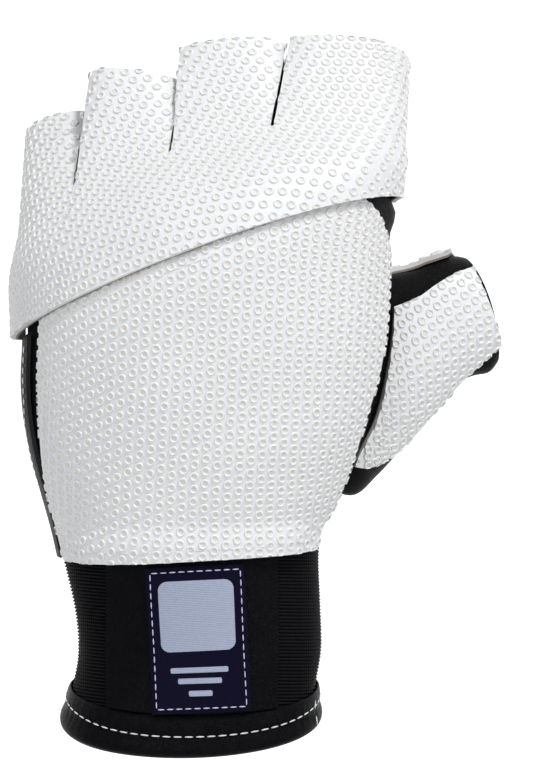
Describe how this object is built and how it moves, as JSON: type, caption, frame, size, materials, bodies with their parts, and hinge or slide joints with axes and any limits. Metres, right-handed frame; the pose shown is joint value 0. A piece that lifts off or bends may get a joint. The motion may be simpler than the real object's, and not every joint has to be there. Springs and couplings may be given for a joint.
{
  "type": "half-finger sport glove",
  "caption": "Left-hand sport glove with open half fingers, a short open thumb, dotted non-slip rubber panels, a ribbed elastic cuff and a bound leather hem.",
  "frame": {"origin": "middle of the wrist opening, in the plane of the cuff's lower end", "axes": "+Z from the wrist towards the fingers, -Y out of the back of the hand, +X towards the thumb"},
  "size_m": [0.1352, 0.0709, 0.1966],
  "materials": {
    "grained_leather": "soft black grained leather, semi-matt",
    "dotted_rubber": "white rubber with small raised rings, on a thin woven backing, satin",
    "elastic_knit": "black ribbed elastic knit, matt",
    "smooth_leather": "smooth black leather, slightly shiny",
    "label_weave": "fine dark blue satin weave with a bare pale field, matt"
  },
  "bodies": {
    "root": {"hand_shell": "grained_leather", "fourchette_1": "grained_leather", "fourchette_2": "grained_leather", "fourchette_3": "grained_leather", "back_panel": "dotted_rubber", "knuckle_band": "dotted_rubber", "side_lap": "grained_leather", "thumb_shell": "grained_leather", "thumb_back_panel": "dotted_rubber", "thumb_palm_panel": "dotted_rubber", "palm_panel": "dotted_rubber", "elastic_cuff": "elastic_knit", "hem_binding": "smooth_leather", "wrist_patch": "smooth_leather", "label": "label_weave"}
  },
  "joints": []
}
